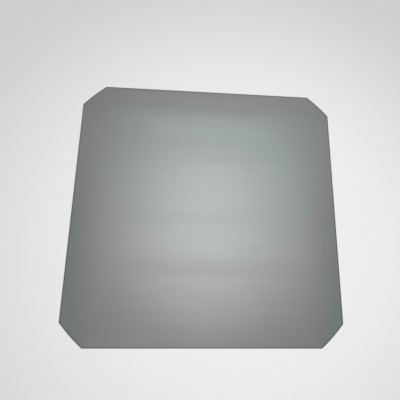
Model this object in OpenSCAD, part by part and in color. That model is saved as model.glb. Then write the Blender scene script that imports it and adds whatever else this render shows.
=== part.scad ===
// Pseudo-square wafer of monocrystalline silicon, sawn and not yet made into a cell.
//
// A round crystal ingot is ground flat on four sides. That leaves a brick whose four
// corners are still the ingot's own round surface. The wafer is one thin slice across
// this brick, so its outline is the overlap of a square and a circle on one centre.
//
// Millimetres. The wafer lies flat, with the origin at the centre of its lower face,
// +Z up, and each pair of straight edges along X and Y.

/* [Brick] */
// Distance across opposite ground flats
side = 156; // [150:0.5:162]
// Diameter of the ingot, whose round surface is left at the four corners
ingot_d = 203; // [195:0.5:212]

/* [Slice] */
// Thickness between the two sawn faces
thickness = 0.2; // [0.12:0.01:0.3]

/* [Hidden] */

// Steps round the ingot in a preview of its arcs
$fn = 360;

// Satin grey of a wire-sawn silicon face
silicon = [0.59, 0.61, 0.61];

// Cross-section of the round ingot
module ingot_section() {
    circle(d = ingot_d);
}

// Cross-section of the brick: four flats, joined by four arcs of the ingot
module brick_section() {
    intersection() {
        ingot_section();
        square(side, center = true);
    }
}

// One slice of the brick, with square-cut edges as the wire leaves them
module wafer() {
    color(silicon)
        linear_extrude(thickness)
            brick_section();
}

wafer();
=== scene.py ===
"""Dresses the silicon wafer: sawn faces, a square-cut rim and the finish of bare silicon, in a studio.

Everything is in metres, in the part's own frame: the wafer lies flat, the origin is at the centre of its
lower face, +Z is up, and its straight edges run along X and Y.
"""

import logging
import math
from dataclasses import dataclass
from enum import Enum

import bpy
import numpy as np
from mathutils import Matrix, Vector


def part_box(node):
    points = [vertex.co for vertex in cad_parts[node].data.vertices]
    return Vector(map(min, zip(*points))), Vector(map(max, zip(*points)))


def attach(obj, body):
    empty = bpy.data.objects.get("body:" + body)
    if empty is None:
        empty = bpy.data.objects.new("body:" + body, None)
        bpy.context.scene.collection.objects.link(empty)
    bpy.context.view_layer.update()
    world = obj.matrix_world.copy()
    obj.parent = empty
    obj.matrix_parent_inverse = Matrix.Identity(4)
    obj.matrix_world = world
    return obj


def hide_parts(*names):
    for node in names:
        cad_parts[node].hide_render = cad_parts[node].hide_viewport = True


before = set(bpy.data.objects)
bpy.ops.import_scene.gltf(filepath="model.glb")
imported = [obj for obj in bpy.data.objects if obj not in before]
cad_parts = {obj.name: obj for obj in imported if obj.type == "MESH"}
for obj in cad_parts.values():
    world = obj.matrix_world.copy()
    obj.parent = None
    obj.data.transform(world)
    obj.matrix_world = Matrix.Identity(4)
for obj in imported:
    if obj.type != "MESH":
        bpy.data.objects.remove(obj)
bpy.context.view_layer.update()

LOG = logging.getLogger("silicon_wafer")
MM = 0.001
MICRON = 1e-6
NODE = "wafer"
BODY = "root"

Colour = tuple[float, float, float, float]
# Where a soft rise starts and where it is full. With the second below the first, it is a fall.
Span = tuple[float, float]


# ----------------------------------------------------------------------------------------------------
# Shader graphs written as expressions
# ----------------------------------------------------------------------------------------------------


class Graph:
    """The node tree of one material or world, and the one place where its nodes are made."""

    # Sockets of the Mix node that hold its two colours and their mixture.
    MIX_FIRST, MIX_SECOND, MIX_RESULT = 6, 7, 2

    def __init__(self, owner: bpy.types.Material | bpy.types.World) -> None:
        """Starts an empty tree.

        Args:
            owner: The material or world that the tree belongs to.
        """
        owner.use_nodes = True
        self.tree = owner.node_tree
        self.tree.nodes.clear()

    def add(self, kind: str, settings: dict | None = None, inputs: dict | None = None) -> bpy.types.Node:
        """Makes a node of any type: its settings first, then the values or links of its sockets.

        Args:
            kind: Blender's name for the node's type.
            settings: Properties of the node, such as a Math node's operation.
            inputs: What each input takes, by the socket's name or number: a number, a tuple, a Value, or
                another node, whose first output is linked.

        Returns:
            The node.
        """
        node = self.tree.nodes.new(kind)
        for key, setting in (settings or {}).items():
            setattr(node, key, setting)
        for key, value in (inputs or {}).items():
            if isinstance(value, Value):
                self.tree.links.new(value.socket, node.inputs[key])
            elif isinstance(value, bpy.types.Node):
                self.tree.links.new(value.outputs[0], node.inputs[key])
            else:
                node.inputs[key].default_value = value
        return node

    def value(self, kind: str, settings: dict | None = None, inputs: dict | None = None,
              output: str | int = 0) -> "Value":
        """Makes a node as add does, and wraps one of its outputs for use in expressions."""
        return Value(self, self.add(kind, settings, inputs).outputs[output])

    def split(self, vector: "Value") -> tuple["Value", "Value"]:
        """The X and Y parts of a vector."""
        parts = self.add("ShaderNodeSeparateXYZ", inputs={0: vector})
        return Value(self, parts.outputs["X"]), Value(self, parts.outputs["Y"])

    def noise(self, place: "Value", scale: float, detail: float) -> "Value":
        """Smooth noise from 0 to 1. The scale is cells to a unit of length, the detail finer octaves."""
        return self.value("ShaderNodeTexNoise", inputs={"Vector": place, "Scale": scale, "Detail": detail})

    def mix(self, share: "Value", first: "Value | Colour", second: "Value | Colour") -> "Value":
        """Mixes two colours, the second by its share."""
        return self.value("ShaderNodeMix", {"data_type": "RGBA"}, {
            "Factor": share, self.MIX_FIRST: first, self.MIX_SECOND: second}, output=self.MIX_RESULT)

    def scaled(self, colour: "Value | tuple[float, float, float]", level: "Value") -> "Value":
        """A colour made lighter or darker by a level, in all its parts alike."""
        return self.value("ShaderNodeVectorMath", {"operation": "SCALE"}, {0: colour, "Scale": level})


@dataclass(frozen=True)
class Value:
    """A number, colour or vector that varies over the surface. Arithmetic on numbers adds Math nodes."""

    graph: Graph
    socket: bpy.types.NodeSocket

    def _math(self, operation: str, *terms: "Value | float") -> "Value":
        """Adds one Math node with these terms in order."""
        return self.graph.value("ShaderNodeMath", {"operation": operation}, dict(enumerate(terms)))

    def __add__(self, other: "Value | float") -> "Value":
        """The sum."""
        return self._math("ADD", self, other)

    def __radd__(self, other: float) -> "Value":
        """The sum, with the number first."""
        return self._math("ADD", other, self)

    def __sub__(self, other: "Value | float") -> "Value":
        """The difference."""
        return self._math("SUBTRACT", self, other)

    def __rsub__(self, other: float) -> "Value":
        """The difference, with the number first."""
        return self._math("SUBTRACT", other, self)

    def __mul__(self, other: "Value | float") -> "Value":
        """The product."""
        return self._math("MULTIPLY", self, other)

    def __rmul__(self, other: float) -> "Value":
        """The product, with the number first."""
        return self._math("MULTIPLY", other, self)

    def __abs__(self) -> "Value":
        """The size without its sign."""
        return self._math("ABSOLUTE", self)

    def least(self, other: "Value | float") -> "Value":
        """The smaller of the two."""
        return self._math("MINIMUM", self, other)

    def root(self) -> "Value":
        """The square root."""
        return self._math("SQRT", self)

    def ramp(self, span: Span) -> "Value":
        """An S-shaped rise from 0 at the span's start to 1 at its end, held flat outside them.

        It is three t squared less two t cubed, as smooth_step is.

        Args:
            span: Where the rise starts and where it is full, the second below the first for a fall.

        Returns:
            The rise's height, from 0 to 1.
        """
        start, end = span
        rise = self.graph.value("ShaderNodeMapRange", {"interpolation_type": "SMOOTHSTEP"},
                                {"Value": self, "From Min": min(span), "From Max": max(span)})
        return rise if start < end else 1.0 - rise

    def spread(self, low: float, high: float) -> "Value":
        """Stretches the range from 0 to 1 over low to high."""
        return low + (high - low) * self

    def swing(self, amount: float) -> "Value":
        """Turns noise from 0 to 1 into a swing of this size about zero, half of it either way."""
        return (self - 0.5) * amount


# ----------------------------------------------------------------------------------------------------
# The marks that the saw leaves
# ----------------------------------------------------------------------------------------------------


@dataclass(frozen=True)
class SawBand:
    """A stripe along X, left where the wire slowed or turned back: duller and cut deeper, or brighter.

    Attributes:
        low: Where its plateau starts along Y.
        high: Where its plateau ends.
        soft_below: Width over which it fades in, before the plateau.
        soft_above: Width over which it fades out, past the plateau.
        shade: Share of light that it loses, below zero where it is brighter.
        depth: How much deeper it is cut.
    """

    low: float
    high: float
    soft_below: float
    soft_above: float
    shade: float
    depth: float = 0.0

    @property
    def rise(self) -> Span:
        """Where it fades in, before its plateau."""
        return self.low - self.soft_below, self.low

    @property
    def fall(self) -> Span:
        """Where it fades out past its plateau, as a fall."""
        return self.high + self.soft_above, self.high


@dataclass(frozen=True)
class SawMarks:
    """The marks of the diamond wire, which runs along X while the brick is fed along Y.

    Attributes:
        bands: The stripes, from the back edge to the front one.
        wire_bow: How far the wire bows in the middle of the cut.
        ripples: Number of sine waves in the relief between the bands.
        shortest_ripple: Length of the shortest wave.
        longest_ripple: Length of the longest one.
        ripple_slope: Greatest slope of each wave, times the root of their number.
        seed: Seed of the waves' phases.
    """

    bands: tuple[SawBand, ...] = (
        SawBand(66 * MM, 90 * MM, 6 * MM, 1 * MM, shade=0.072, depth=2.5 * MICRON),
        SawBand(54 * MM, 58 * MM, 11 * MM, 4 * MM, shade=-0.034),
        SawBand(31 * MM, 42 * MM, 3 * MM, 8 * MM, shade=0.018, depth=1.0 * MICRON),
        SawBand(-6 * MM, -5 * MM, 4 * MM, 7 * MM, shade=0.026, depth=1.5 * MICRON),
        SawBand(-23 * MM, -19 * MM, 7 * MM, 8 * MM, shade=-0.010),
        SawBand(-36 * MM, -34 * MM, 6 * MM, 9 * MM, shade=0.047, depth=2.0 * MICRON),
        SawBand(-90 * MM, -71 * MM, 1 * MM, 8 * MM, shade=0.034, depth=1.0 * MICRON),
    )
    wire_bow: float = 0.5 * MM
    ripples: int = 24
    shortest_ripple: float = 1.2 * MM
    longest_ripple: float = 14 * MM
    ripple_slope: float = 0.0012
    seed: int = 7

    def line(self, x: np.ndarray | Value, y: np.ndarray | Value, half_side: float) -> np.ndarray | Value:
        """Where a point's cut was made along the feed: y plus the wire's bow.

        The bow is a parabola over the wafer's width, highest in the middle and nothing at both sides.

        Args:
            x: Distances along the wire.
            y: Distances along the feed.
            half_side: Half the wafer's side, over which the wire bows.

        Returns:
            Distances along the feed that are the same all along one mark.
        """
        across = x * (1 / half_side)
        return y + self.wire_bow * (1 - across * across)

    def depth(self, x: np.ndarray, y: np.ndarray, half_side: float) -> np.ndarray:
        """How far the sawn face lies below the flat one.

        A band is a plateau of its depth that rises and falls by smooth steps. The ripples are sine waves
        along the feed whose lengths run evenly on a log scale, each as high as its slope allows, and lifted
        so that none rises above the face.

        Args:
            x: Distances along the wire.
            y: Distances along the feed.
            half_side: Half the wafer's side, over which the wire bows.

        Returns:
            Depths in metres, all at or above zero.
        """
        line = self.line(x, y, half_side)
        total = np.zeros_like(line)
        for band in self.bands:
            total += band.depth * smooth_step(line, band.rise) * smooth_step(line, band.fall)
        chance = np.random.default_rng(self.seed)
        lengths = np.geomspace(self.shortest_ripple, self.longest_ripple, self.ripples)
        phases = chance.uniform(0, math.tau, self.ripples)
        heights = self.ripple_slope * lengths / math.tau / math.sqrt(self.ripples)
        for length, phase, height in zip(lengths, phases, heights):
            total += height * (1 + np.sin(math.tau * line / length + phase))
        return total


def smooth_step(values: np.ndarray, span: Span) -> np.ndarray:
    """Three t squared less two t cubed, where t runs from 0 to 1 over the span and is held outside it."""
    t = np.clip((values - span[0]) / (span[1] - span[0]), 0, 1)
    return t * t * (3 - 2 * t)


# ----------------------------------------------------------------------------------------------------
# The finish of bare silicon
# ----------------------------------------------------------------------------------------------------


@dataclass(frozen=True)
class WireGrain:
    """Noise drawn out along X, like the lines that grains of diamond leave.

    Attributes:
        length: How far a line runs along X before it changes.
        pitch: Distance from line to line along Y, and between the two faces' own patterns along Z.
        detail: Octaves of finer noise.
        tone: Swing of the surface's tone that it gives.
        start: Which stretch of the noise is used.
    """

    length: float
    pitch: float
    detail: float
    tone: float
    start: tuple[float, float, float] = (0.0, 0.0, 0.0)

    def over(self, g: Graph, place: Value) -> Value:
        """Makes noise of one cell to each length along X and to each pitch along Y and Z.

        Args:
            g: The material's graph.
            place: Object coordinates.

        Returns:
            The noise, from 0 to 1.
        """
        cells = (1 / self.length, 1 / self.pitch, 1 / self.pitch)
        drawn = g.value("ShaderNodeMapping", inputs={
            "Vector": place, "Location": self.start, "Scale": cells})
        return g.noise(drawn, 1.0, self.detail)


@dataclass(frozen=True)
class PaintedLightMargins:
    """Painted light at the face's margins: painted shade at the sides, and a painted highlight in front.

    Attributes:
        side: Distances from the side margins' middle line at which they start and are full.
        side_middle: X of that line.
        side_reach: Y at which the side margins start and are full.
        side_painted_shade: Share of light that the painted shade at the sides takes off.
        corner: Y at which the front corners start to take less painted shade, and at which they do in full.
        corner_gain: How much less.
        front: Y at which the front margin starts and is full.
        front_painted_shade: Painted shade of the front margin away from its painted highlight.
        painted_highlight: Distances from the painted highlight's middle at which it starts and is full.
        highlight_middle: X of that middle.
        highlight_gain: Share of light that the painted highlight adds.
    """

    side: Span = (54 * MM, 78 * MM)
    side_middle: float = -1.5 * MM
    side_reach: Span = (45 * MM, -5 * MM)
    side_painted_shade: float = 0.115
    corner: Span = (-38 * MM, -56 * MM)
    corner_gain: float = 0.035
    front: Span = (-64 * MM, -77 * MM)
    front_painted_shade: float = 0.005
    painted_highlight: Span = (30 * MM, 6 * MM)
    highlight_middle: float = -48 * MM
    highlight_gain: float = 0.065

    def painted_shade(self, x: Value, y: Value) -> Value:
        """Adds up the margins' painted shade and painted highlight.

        Args:
            x: Distance along X.
            y: Distance along Y.

        Returns:
            The share of light that the painted shade takes off, less what the painted highlight adds.
        """
        # Painted shade at the sides, and along the front edge painted shade with a painted highlight.
        sides = abs(x - self.side_middle).ramp(self.side) * y.ramp(self.side_reach)
        sides = sides * (self.side_painted_shade - self.corner_gain * y.ramp(self.corner))
        painted_highlight = abs(x - self.highlight_middle).ramp(self.painted_highlight)
        front = y.ramp(self.front) * (self.front_painted_shade - self.highlight_gain * painted_highlight)
        return sides + front


@dataclass(frozen=True)
class PaintedReflectionTint:
    """Painted reflection in faint tints: mauve, with soft fields of plain grey, cool blue and green.

    Attributes:
        mauve: Colour of what the fields leave, mostly at the sides and the back edge.
        plain: Colour of the front.
        cool: Colour of the field from the middle back, and of the side edges in front.
        green: Colour of the oval in the middle.
        drift: Swing of the fields' edges with the clouds.
        nose: Y at which the cool field starts and is full, where it reaches farthest forward.
        nose_middle: X of that place.
        nose_curve: How fast its front edge bends back from there, in metres for each metre squared.
        back: Y at which it starts and is full, from the back.
        left: X at which it starts and is full, from the left.
        right: X at which it starts and is full, from the right, where Y is zero.
        right_slant: How far that edge moves along X for each metre along Y.
        oval: Distances from its middle at which the green oval starts and is full, along X.
        oval_middle: Y of its middle.
        oval_slant: How far it leans against X for each metre along Y.
        oval_flatness: How many times as much a distance squared counts along Y.
        edge: Distances at which the cool side edges start and are full, where Y is zero.
        edge_middle: X from which these distances run.
        edge_slant: How far the edges move outwards for each metre along Y.
        edge_reach: Y at which they start and are full, from the back.
        front: Y at which the plain front starts and is full, from the back.
        front_reach: X at which it starts and is full, from the right.
    """

    mauve: Colour = (0.3370, 0.3333, 0.3463, 1.0)
    plain: Colour = (0.3350, 0.3350, 0.3350, 1.0)
    cool: Colour = (0.3108, 0.3415, 0.3415, 1.0)
    green: Colour = (0.3194, 0.3398, 0.3330, 1.0)
    drift: float = 10 * MM
    nose: Span = (-38 * MM, -16 * MM)
    nose_middle: float = 14 * MM
    nose_curve: float = 8.0
    back: Span = (77 * MM, 56 * MM)
    left: Span = (-80 * MM, -36 * MM)
    right: Span = (70 * MM, 56 * MM)
    right_slant: float = 0.19
    oval: Span = (56 * MM, 36 * MM)
    oval_middle: float = 5 * MM
    oval_slant: float = 0.35
    oval_flatness: float = 1.6
    edge: Span = (70 * MM, 81 * MM)
    edge_middle: float = 1.5 * MM
    edge_slant: float = 0.14
    edge_reach: Span = (20 * MM, -20 * MM)
    front: Span = (-40 * MM, -60 * MM)
    front_reach: Span = (45 * MM, -10 * MM)

    def colour(self, g: Graph, x: Value, y: Value, clouds: Value) -> Value:
        """Lays the fields over the mauve one after the other.

        Args:
            g: The material's graph.
            x: Distance along X.
            y: Distance along Y.
            clouds: Noise that the fields' edges drift with.

        Returns:
            The colour.
        """
        shift = clouds.swing(self.drift)
        x, y = x + shift, y + shift
        # These fields are a painted reflection, in faint tints of the room's light.
        colour = g.mix(self.plain_front(x, y), self.mauve, self.plain)
        colour = g.mix(self.cool_edges(x, y), colour, self.cool)
        colour = g.mix(self.cool_field(x, y), colour, self.cool)
        return g.mix(self.green_oval(x, y), colour, self.green)

    def plain_front(self, x: Value, y: Value) -> Value:
        """Share of the plain field along the front edge."""
        return y.ramp(self.front) * x.ramp(self.front_reach)

    def cool_edges(self, x: Value, y: Value) -> Value:
        """Share of the cool side edges, which widen towards the front."""
        outwards = abs(x - self.edge_middle) - y * self.edge_slant
        return outwards.ramp(self.edge) * y.ramp(self.edge_reach)

    def cool_field(self, x: Value, y: Value) -> Value:
        """Share of the cool field. Its front edge is a parabola: y less the curve times x squared.

        Args:
            x: Distance along X.
            y: Distance along Y.

        Returns:
            The share, from 0 to 1.
        """
        aside = x - self.nose_middle
        behind = y - aside * aside * self.nose_curve
        field = behind.ramp(self.nose) * y.ramp(self.back)
        return field * x.ramp(self.left) * (x - y * self.right_slant).ramp(self.right)

    def green_oval(self, x: Value, y: Value) -> Value:
        """Share of the green oval: a ramp of the root of x squared plus a multiple of y squared.

        Both are taken from the oval's middle, and x is moved along by a share of y, which makes it lean.

        Args:
            x: Distance along X.
            y: Distance along Y.

        Returns:
            The share, from 0 to 1.
        """
        ahead = y - self.oval_middle
        across = x + ahead * self.oval_slant
        return (across * across + ahead * ahead * self.oval_flatness).root().ramp(self.oval)


@dataclass(frozen=True)
class SiliconFinish:
    """Bare silicon as the diamond wire leaves it: satin, metallic grey, with soft bands and fine lines.

    Attributes:
        marks: The saw's bands.
        half_side: Half the wafer's side.
        ingot_radius: Radius of the arcs at its corners.
        reflection_tint: The painted reflection's faint tints.
        painted_light_margins: Painted shade and painted highlight at the face's margins.
        patches: The coarse grain, which also breaks up the bands.
        streaks: The grain of middling size.
        lines: The fine grain.
        cloud_scale: Cells to a metre of the clouds, the noise that moves the edges of bands and tints.
        cloud_detail: Finer octaves of the clouds.
        raggedness: Swing of a band's edges with the clouds.
        middle: Distances from the middle along X at which the marks start to be stronger, and are full.
        band_ends: Share of a band's shade that is left at the sides.
        grain_ends: Share of the grain's tone that is left there.
        patch_noise: Levels of the patches at which a band is weakest and strongest.
        patch_strength: How strong the band is at these two.
        roughness: Roughness between the marks.
        band_roughness: Roughness that a band adds, as a multiple of its shade.
        streak_roughness: Swing of the roughness with the streaks.
        relief: Height of the bump that the streaks and lines make.
        rim: Distances from the rim at which its painted shade, a dark hairline, starts and is full.
        rim_painted_shade: Share of light that the painted shade of the hairline takes off.
    """

    marks: SawMarks
    half_side: float
    ingot_radius: float
    reflection_tint: PaintedReflectionTint = PaintedReflectionTint()
    painted_light_margins: PaintedLightMargins = PaintedLightMargins()
    patches: WireGrain = WireGrain(26 * MM, 5.5 * MM, detail=2.0, tone=0.08, start=(17.4, 12.3, -8.2))
    streaks: WireGrain = WireGrain(50 * MM, 0.9 * MM, detail=3.0, tone=0.045)
    lines: WireGrain = WireGrain(20 * MM, 0.22 * MM, detail=2.0, tone=0.045)
    cloud_scale: float = 22.0
    cloud_detail: float = 2.0
    raggedness: float = 7 * MM
    middle: Span = (64 * MM, 22 * MM)
    band_ends: float = 0.25
    grain_ends: float = 0.4
    patch_noise: Span = (0.32, 0.68)
    patch_strength: tuple[float, float] = (0.6, 1.4)
    roughness: float = 0.33
    band_roughness: float = 0.3
    streak_roughness: float = 0.04
    relief: float = 5.0 * MICRON
    rim: Span = (1.0 * MM, 0.0)
    rim_painted_shade: float = 0.50

    def material(self) -> bpy.types.Material:
        """Builds the material on the piece's own Object coordinates.

        The base colour is the painted reflection tint, made darker or lighter by a tone: one, less what the
        bands lose, the rim's painted shade and the margins' painted shade, plus the margins' painted
        highlight and the grain's swing.

        Returns:
            The material.
        """
        material = bpy.data.materials.new("sawn_silicon")
        g = Graph(material)
        place = g.value("ShaderNodeTexCoord", output="Object")
        x, y = g.split(place)
        clouds = g.noise(place, self.cloud_scale, self.cloud_detail)
        patches = self.patches.over(g, place)
        streaks = self.streaks.over(g, place)
        lines = self.lines.over(g, place)
        middle = abs(x).ramp(self.middle)
        line = self.marks.line(x, y, self.half_side) + clouds.swing(self.raggedness)
        bands = self.band_shade(line) * middle.spread(self.band_ends, 1.0)
        bands = bands * patches.ramp(self.patch_noise).spread(*self.patch_strength)
        grain = patches.swing(self.patches.tone) + streaks.swing(self.streaks.tone)
        grain = grain + lines.swing(self.lines.tone)
        # The tone takes off the rim's painted shade and the margins' painted shade, and adds their painted
        # highlight.
        tone = 1.0 - bands - self.painted_rim_shade(x, y) - self.painted_light_margins.painted_shade(x, y)
        tone = tone + grain * middle.spread(self.grain_ends, 1.0)
        rough = self.roughness + bands * self.band_roughness + streaks.swing(self.streak_roughness)
        bump = g.value("ShaderNodeBump", inputs={
            "Height": streaks + lines, "Strength": 1.0, "Distance": self.relief})
        # The base colour carries the painted reflection tint, scaled by the tone.
        surface = g.add("ShaderNodeBsdfPrincipled", inputs={
            "Base Color": g.scaled(self.reflection_tint.colour(g, x, y, clouds), tone),
            "Metallic": 1.0, "Roughness": rough, "Normal": bump})
        g.add("ShaderNodeOutputMaterial", inputs={"Surface": surface})
        return material

    def band_shade(self, line: Value) -> Value:
        """Sums the shade of every saw band: its rise times its fall times its shade.

        Args:
            line: Distance along the feed, with the wire's bow taken out.

        Returns:
            The share of light that the bands lose.
        """
        shades = [line.ramp(band.rise) * line.ramp(band.fall) * band.shade for band in self.marks.bands]
        return sum(shades[1:], shades[0])

    def painted_rim_shade(self, x: Value, y: Value) -> Value:
        """Painted shade: a dark hairline just inside the rim, where the edge's shadow and dark line fall.

        The distance to the rim is the least of the distances to the flats and to the ingot's round surface.

        Args:
            x: Distance along X.
            y: Distance along Y.

        Returns:
            The share of light that the painted shade takes off.
        """
        inside = (self.half_side - abs(x)).least(self.half_side - abs(y))
        inside = inside.least(self.ingot_radius - (x * x + y * y).root())
        # Painted shade of a dark hairline along the rim.
        return inside.ramp(self.rim) * self.rim_painted_shade


# ----------------------------------------------------------------------------------------------------
# The wafer
# ----------------------------------------------------------------------------------------------------


class Face(Enum):
    """The two sawn faces, and which way each one looks along Z."""

    UPPER = 1
    LOWER = -1


@dataclass
class Wafer:
    """The pseudo-square slice: two sawn faces joined by a square-cut rim with hair-fine broken edges.

    Attributes:
        side: Distance across opposite flats.
        ingot_radius: Radius of the four corners' arcs.
        thickness: Distance between the faces before the saw's marks are taken off.
        marks: The saw's marks on both faces.
        edge_radius: Radius of the broken edges.
        edge_steps: Steps round each of them.
        flat_rows: Steps of the grid along the side flats.
        corner_rows: Steps along each corner's arc.
        columns: Points across the grid.
        crowding: How far the sine that spaces the columns runs either way, in half turns. Nearer to a
            half, they crowd more at the sides.
        crease: Least angle between two faces that is shaded as an edge.
    """

    side: float
    ingot_radius: float
    thickness: float
    marks: SawMarks
    edge_radius: float = 12 * MICRON
    edge_steps: int = 3
    flat_rows: int = 500
    corner_rows: int = 44
    columns: int = 62
    crowding: float = 0.42
    crease: float = math.radians(10)

    @classmethod
    def from_node(cls, name: str, marks: SawMarks) -> "Wafer":
        """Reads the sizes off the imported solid: its box, and the round corners' distance from the middle.

        Args:
            name: The CAD node.
            marks: The saw's marks on both faces.

        Returns:
            The wafer.
        """
        low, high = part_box(name)
        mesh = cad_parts[name].data
        points = np.empty((len(mesh.vertices), 3), np.float32)
        mesh.vertices.foreach_get("co", points.ravel())
        ingot_radius = float(np.hypot(points[:, 0], points[:, 1]).max())
        return cls(side=high.x - low.x, ingot_radius=ingot_radius, thickness=high.z - low.z, marks=marks)

    @property
    def grid(self) -> np.ndarray:
        """Numbers of one face's points, rows by columns."""
        rows = self.corner_rows + self.flat_rows + 1 + self.corner_rows
        return np.arange(rows * self.columns).reshape(rows, self.columns)

    @property
    def edge(self) -> np.ndarray:
        """Numbers of the grid's outer points in order, anticlockwise seen from above."""
        grid = self.grid
        return np.concatenate([grid[0, :-1], grid[:-1, -1], grid[-1, :0:-1], grid[:0:-1, 0]])

    def plan(self, inset: float) -> np.ndarray:
        """Points over the outline, drawn in by an inset.

        Rows run from the front flat to the back one: even angles along the ingot's arc, even steps between
        the side flats, and even angles again. Columns cross each row from edge to edge, spaced as a sine.

        Args:
            inset: How far the outline is drawn in.

        Returns:
            X and Y of the points, rows by columns by two.
        """
        half = self.side / 2 - inset
        radius = self.ingot_radius - inset
        chord = math.sqrt(radius * radius - half * half)
        low, high = math.atan2(chord, half), math.atan2(half, chord)
        arc = np.linspace(low, high, self.corner_rows + 1)[1:]
        flat = np.linspace(-chord, chord, self.flat_rows + 1)
        y = np.concatenate([-radius * np.sin(arc[::-1]), flat, radius * np.sin(arc)])
        width = np.concatenate([radius * np.cos(arc[::-1]), np.full(flat.size, half), radius * np.cos(arc)])
        reach = self.crowding * math.pi
        across = np.sin(np.linspace(-1, 1, self.columns) * reach) / math.sin(reach)
        return np.stack([width[:, None] * across, np.repeat(y[:, None], self.columns, axis=1)], axis=-1)

    def sawn_face(self, face: Face) -> np.ndarray:
        """Points of one sawn face: the plan drawn in by the edge's radius, sunk by the depth of the marks.

        Args:
            face: Which face.

        Returns:
            The points, rows by columns by three.
        """
        plan = self.plan(self.edge_radius)
        depth = self.marks.depth(plan[..., 0], plan[..., 1], self.side / 2)
        middle = self.thickness / 2
        return np.dstack([plan, middle + face.value * (middle - depth)])

    def rim_rings(self) -> list[np.ndarray]:
        """Points of the loops round the rim, between the two faces.

        The section is a quarter circle down from the upper face, the square-cut wall, and a quarter circle
        under to the lower face. Each of its points is an inset and a height, carried round the outline.

        Returns:
            The loops from top to bottom, without the faces' own edges.
        """
        turn = np.linspace(0, math.pi / 2, self.edge_steps + 1)[1:]
        insets = self.edge_radius * (1 - np.sin(turn))
        drops = self.edge_radius * (1 - np.cos(turn))
        section = [(inset, self.thickness - drop) for inset, drop in zip(insets, drops)]
        section += [(inset, drop) for inset, drop in zip(insets[::-1], drops[::-1])]
        return [self.ring(inset, height) for inset, height in section]

    def ring(self, inset: float, height: float) -> np.ndarray:
        """Points of one loop round the rim, drawn in by an inset, at a height."""
        outline = self.plan(inset).reshape(-1, 2)[self.edge]
        return np.column_stack([outline, np.full(len(outline), height)])

    def mesh(self) -> bpy.types.Mesh:
        """Joins the faces and the rim into one closed mesh with outward faces.

        Returns:
            The mesh.
        """
        upper, lower = self.sawn_face(Face.UPPER), self.sawn_face(Face.LOWER)
        rings = self.rim_rings()
        points = np.concatenate([upper.reshape(-1, 3), lower.reshape(-1, 3), *rings])
        grid, edge = self.grid, self.edge
        corners = [grid[:-1, :-1], grid[:-1, 1:], grid[1:, 1:], grid[1:, :-1]]
        cells = np.stack(corners, axis=-1).reshape(-1, 4)
        between = 2 * grid.size + np.arange(len(rings) * edge.size).reshape(len(rings), edge.size)
        rim = walls(np.vstack([edge, between, edge + grid.size]))
        faces = np.concatenate([cells, cells[:, ::-1] + grid.size, rim])
        mesh = bpy.data.meshes.new("wafer_sawn")
        mesh.from_pydata(points.tolist(), [], faces.tolist())
        mesh.validate()
        mesh.set_sharp_from_angle(angle=self.crease)
        return mesh

    def piece(self, finish: SiliconFinish) -> bpy.types.Object:
        """Makes the wafer's object, dressed and riding on the part's body.

        Args:
            finish: The finish of its surfaces.

        Returns:
            The object.
        """
        mesh = self.mesh()
        mesh.materials.append(finish.material())
        wafer = bpy.data.objects.new("sawn_wafer", mesh)
        bpy.context.scene.collection.objects.link(wafer)
        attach(wafer, BODY)
        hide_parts(NODE)
        return wafer


def walls(loops: np.ndarray) -> np.ndarray:
    """Quads that join each closed loop of point numbers to the next one.

    Args:
        loops: Numbers of the points, loops by points round a loop.

    Returns:
        Numbers of the quads' corners, quads by four.
    """
    above, below = loops[:-1], loops[1:]
    corners = [above, below, np.roll(below, -1, axis=1), np.roll(above, -1, axis=1)]
    return np.stack(corners, axis=-1).reshape(-1, 4)


# ----------------------------------------------------------------------------------------------------
# The studio
# ----------------------------------------------------------------------------------------------------


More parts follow.
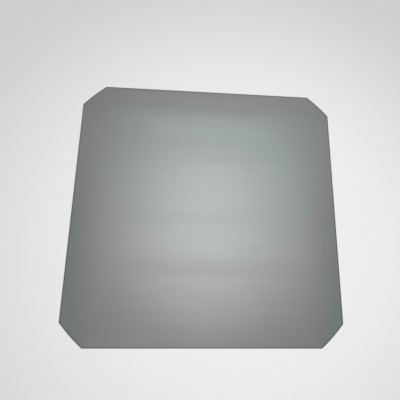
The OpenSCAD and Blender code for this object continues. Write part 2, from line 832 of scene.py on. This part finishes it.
@dataclass(frozen=True)
class Backdrop:
    """The white of the floor and the walls: partly matt near the wafer, and a glow that is a painted pool
    of light round the wafer and even farther out.

    Only the camera, reflections and rays through glass see the glow. It lights nothing.

    Attributes:
        white: Colour of the matt part.
        mottle: Swing of its lightness.
        mottle_scale: Cells to a metre of that swing.
        mottle_detail: Finer octaves of it.
        roughness: Roughness of the matt part.
        gloss: Specular level of the matt part.
        light_pool: Level of the glow round the wafer, a painted pool of light.
        glow: Level of the glow everywhere else.
        light_pool_middle: Where the middle of the painted pool of light lies.
        light_pool_edge: Distances from there at which the painted pool of light starts to fade and has
            faded.
        near_share: The glow's share round the wafer.
        share_rise: Distances at which that share starts to rise, and at which the glow is all.
    """

    white: tuple[float, float, float] = (0.87, 0.87, 0.87)
    mottle: float = 0.03
    mottle_scale: float = 6.0
    mottle_detail: float = 2.0
    roughness: float = 0.9
    gloss: float = 0.1
    light_pool: float = 1.0
    glow: float = 0.62
    light_pool_middle: tuple[float, float] = (20 * MM, -10 * MM)
    light_pool_edge: Span = (60 * MM, 205 * MM)
    near_share: float = 0.6
    share_rise: Span = (1.0, 2.4)

    def material(self) -> bpy.types.Material:
        """Builds the matt white, mixed with the glow by a share that rises with the distance.

        The glow falls by a smooth step from the painted pool of light round the wafer to the even level
        farther out.

        Returns:
            The material.
        """
        material = bpy.data.materials.new("studio_white")
        g = Graph(material)
        place = g.value("ShaderNodeTexCoord", output="Object")
        x, y = g.split(place)
        mottle = g.noise(place, self.mottle_scale, self.mottle_detail)
        matt = g.add("ShaderNodeBsdfPrincipled", inputs={
            "Base Color": g.scaled(self.white, 1.0 + mottle.swing(self.mottle)),
            "Roughness": self.roughness, "Specular IOR Level": self.gloss})
        aside, ahead = x - self.light_pool_middle[0], y - self.light_pool_middle[1]
        distance = (aside * aside + ahead * ahead).root()
        # The glow is a painted pool of light: brighter round the wafer, even farther out.
        level = distance.ramp(self.light_pool_edge).spread(self.light_pool, self.glow)
        glow = g.add("ShaderNodeEmission", inputs={"Color": level, "Strength": 1.0})
        share = distance.ramp(self.share_rise).spread(self.near_share, 1.0) * self.seen(g)
        surface = g.add("ShaderNodeMixShader", inputs={0: share, 1: matt, 2: glow})
        g.add("ShaderNodeOutputMaterial", inputs={"Surface": surface})
        return material

    def seen(self, g: Graph) -> Value:
        """Tells which rays see the glow: those from the camera, from a reflection and through glass.

        Args:
            g: The material's graph.

        Returns:
            One for these rays, and zero for those that carry light.
        """
        ray = g.add("ShaderNodeLightPath")
        seen = Value(g, ray.outputs["Is Camera Ray"]) + Value(g, ray.outputs["Is Glossy Ray"])
        seen = seen + Value(g, ray.outputs["Is Transmission Ray"])
        return seen.least(1.0)


@dataclass(frozen=True)
class SoftBox:
    """A rectangular soft lamp, aimed at the middle of the wafer or straight down.

    Attributes:
        name: The lamp's name.
        place: Where its middle hangs.
        width: Its size from side to side.
        length: Its size the other way.
        power: Its power in watts.
        aimed: Whether it is turned towards the wafer.
    """

    name: str
    place: tuple[float, float, float]
    width: float
    length: float
    power: float
    aimed: bool = True

    def hang(self) -> None:
        """Makes the lamp. The camera doesn't see it, but reflections do."""
        lamp = bpy.data.lights.new(self.name, "AREA")
        lamp.shape = "RECTANGLE"
        lamp.size = self.width
        lamp.size_y = self.length
        lamp.energy = self.power
        box = bpy.data.objects.new(self.name, lamp)
        bpy.context.scene.collection.objects.link(box)
        box.visible_camera = False
        towards = -Vector(self.place) if self.aimed else Vector((0, 0, -1))
        turn = towards.to_track_quat("-Z", "Y").to_matrix().to_4x4()
        box.matrix_world = Matrix.Translation(self.place) @ turn


@dataclass(frozen=True)
class Studio:
    """A white floor that curves up into walls all round, soft lamps and a plain grey sky.

    Attributes:
        floor_radius: Radius of the flat floor.
        rings: Radii of the loops of points on the flat floor.
        bend_radius: Radius of the curve from floor to wall.
        bend_steps: Steps along that curve.
        wall_height: Height of the wall above it.
        around: Points round a loop.
        sky: Strength of the grey sky.
        backdrop: The finish of floor and walls.
        lamps: A panel on the ceiling, a narrower box under it, and a wide panel in front.
    """

    floor_radius: float = 3.0
    rings: tuple[float, ...] = (0.3, 0.8, 1.6)
    bend_radius: float = 1.0
    bend_steps: int = 24
    wall_height: float = 2.4
    around: int = 96
    sky: float = 0.454
    backdrop: Backdrop = Backdrop()
    lamps: tuple[SoftBox, ...] = (
        SoftBox("ceiling_panel", (0.059, 0.239, 0.78), width=0.494, length=0.524, power=0.806, aimed=False),
        SoftBox("softbox", (0.043, 0.112, 0.77), width=0.193, length=0.508, power=0.257, aimed=False),
        SoftBox("front_panel", (0.0, -1.7, 1.1), width=3.2, length=2.0, power=20.106),
    )

    def floor(self) -> bpy.types.Object:
        """Turns a profile round the Z axis: a flat disc, a quarter circle up, and a straight wall.

        Returns:
            The floor's object.
        """
        bend = np.linspace(0, math.pi / 2, self.bend_steps + 1)
        out = np.concatenate([self.rings, self.floor_radius + self.bend_radius * np.sin(bend)])
        up = np.concatenate([np.zeros(len(self.rings)), self.bend_radius * (1 - np.cos(bend))])
        out = np.append(out, out[-1])
        up = np.append(up, self.bend_radius + self.wall_height)
        turn = np.linspace(0, math.tau, self.around, endpoint=False)
        height = np.repeat(up[:, None], self.around, axis=1)
        points = np.dstack([np.outer(out, np.cos(turn)), np.outer(out, np.sin(turn)), height])
        loops = np.arange(out.size * self.around).reshape(out.size, self.around)
        mesh = bpy.data.meshes.new("studio_floor")
        faces = walls(loops).tolist() + [loops[0].tolist()]
        mesh.from_pydata(points.reshape(-1, 3).tolist(), [], faces)
        mesh.shade_smooth()
        mesh.materials.append(self.backdrop.material())
        floor = bpy.data.objects.new("studio_floor", mesh)
        bpy.context.scene.collection.objects.link(floor)
        return floor

    def light(self) -> None:
        """Hangs the lamps, sets the sky and shows colours as they are written."""
        for lamp in self.lamps:
            lamp.hang()
        world = bpy.data.worlds.new("studio_sky")
        g = Graph(world)
        grey = g.add("ShaderNodeBackground", inputs={"Color": (1.0, 1.0, 1.0, 1.0), "Strength": self.sky})
        g.add("ShaderNodeOutputWorld", inputs={"Surface": grey})
        bpy.context.scene.world = world
        bpy.context.scene.view_settings.view_transform = "Standard"


@dataclass(frozen=True)
class Viewpoint:
    """A hand-held camera above the wafer's front edge, aimed a little right of its middle.

    Attributes:
        place: Where the lens is.
        aim: The point that it looks at before the shift.
        roll: Turn about the line of sight, in degrees.
        lens: Focal length in millimetres.
        film: Width of the film in millimetres.
        shift: Shift of the picture, as shares of its width.
        nearest: Least distance at which it sees.
    """

    place: tuple[float, float, float] = (-11.87 * MM, -57.87 * MM, 217.91 * MM)
    aim: tuple[float, float, float] = (6.31 * MM, 2.35 * MM, 0.20 * MM)
    roll: float = 17.918
    lens: float = 34.2
    film: float = 36.0
    shift: tuple[float, float] = (-0.0441, 0.0131)
    nearest: float = 10 * MM

    def camera(self) -> bpy.types.Object:
        """Makes the scene's camera: it looks along the aim, then turns about that line by the roll.

        Returns:
            The camera's object.
        """
        data = bpy.data.cameras.new("camera")
        data.sensor_width = self.film
        data.lens = self.lens
        data.shift_x, data.shift_y = self.shift
        data.clip_start = self.nearest
        camera = bpy.data.objects.new("camera", data)
        bpy.context.scene.collection.objects.link(camera)
        sight = Vector(self.aim) - Vector(self.place)
        turn = sight.to_track_quat("-Z", "Y").to_matrix().to_4x4()
        roll = Matrix.Rotation(math.radians(self.roll), 4, "Z")
        camera.matrix_world = Matrix.Translation(self.place) @ turn @ roll
        bpy.context.scene.camera = camera
        return camera


def main() -> None:
    """Builds the view, the wafer and the studio in that order."""
    logging.basicConfig(level=logging.INFO, format="%(name)s: %(message)s")
    camera = Viewpoint().camera()
    LOG.info("%s: %.1f mm lens", camera.name, camera.data.lens)
    marks = SawMarks()
    wafer = Wafer.from_node(NODE, marks)
    piece = wafer.piece(SiliconFinish(marks, wafer.side / 2, wafer.ingot_radius))
    LOG.info("%s: %d faces, %.1f mm across the flats, ingot radius %.2f mm", piece.name,
             len(piece.data.polygons), wafer.side / MM, wafer.ingot_radius / MM)
    studio = Studio()
    floor = studio.floor()
    LOG.info("%s: %d faces, %d lamps", floor.name, len(floor.data.polygons), len(studio.lamps))
    studio.light()


if __name__ == "__main__":
    main()
